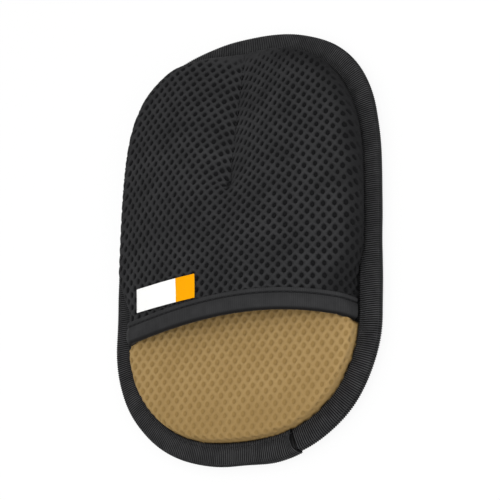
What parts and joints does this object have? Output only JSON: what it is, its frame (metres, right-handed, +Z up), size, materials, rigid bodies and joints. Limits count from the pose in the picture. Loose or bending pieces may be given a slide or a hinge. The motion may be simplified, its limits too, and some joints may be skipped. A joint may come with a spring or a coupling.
{
  "type": "grooming glove",
  "caption": "Oval grooming mitt with a padded palm, rubber nubs below and a black mesh hand pocket above, bound all round with ribbed tape.",
  "frame": {"origin": "on the surface that the nub tips rest on, below the middle of the mitt's box", "axes": "+X across the mitt, +Y to the fingertips, +Z up through the pocket"},
  "size_m": [0.162, 0.2379, 0.0386],
  "materials": {
    "pad_rubber": "moulded, satin",
    "palm_cloth": "plain woven cloth",
    "foam": "open-cell foam, hidden",
    "tan_mesh": "spacer mesh",
    "black_mesh": "coarse spacer mesh",
    "tape": "ribbed woven tape",
    "thread": "spun thread",
    "label_white": "woven ribbon",
    "label_orange": "woven ribbon"
  },
  "bodies": {
    "palm": {"nub_pad": "pad_rubber", "pad_stitch": "thread", "palm_shell": "palm_cloth", "foam_interlining": "foam", "palm_lining": "tan_mesh", "edge_binding": "tape", "edge_needle_thread": "thread", "edge_bobbin_thread": "thread"},
    "pocket": {"pocket_mesh": "black_mesh", "dart_stitch": "thread", "mouth_binding": "tape", "mouth_stitch": "thread"},
    "label": {"label_tag": "label_white", "label_end": "label_orange"}
  },
  "joints": [
    {"name": "mouth_lift", "type": "hinge", "parent": "palm", "child": "pocket", "pos_m": [0, 0.10675, 0.0128], "axis": [-1, 0, 0], "range_deg": [0, 8], "deforming": ["pocket_mesh"]},
    {"name": "label_flap", "type": "hinge", "parent": "pocket", "child": "label", "pos_m": [-0.03608, -0.03417, 0.03403], "axis": [0.9769, 0.0263, 0.2122], "range_deg": [0, 150]}
  ]
}
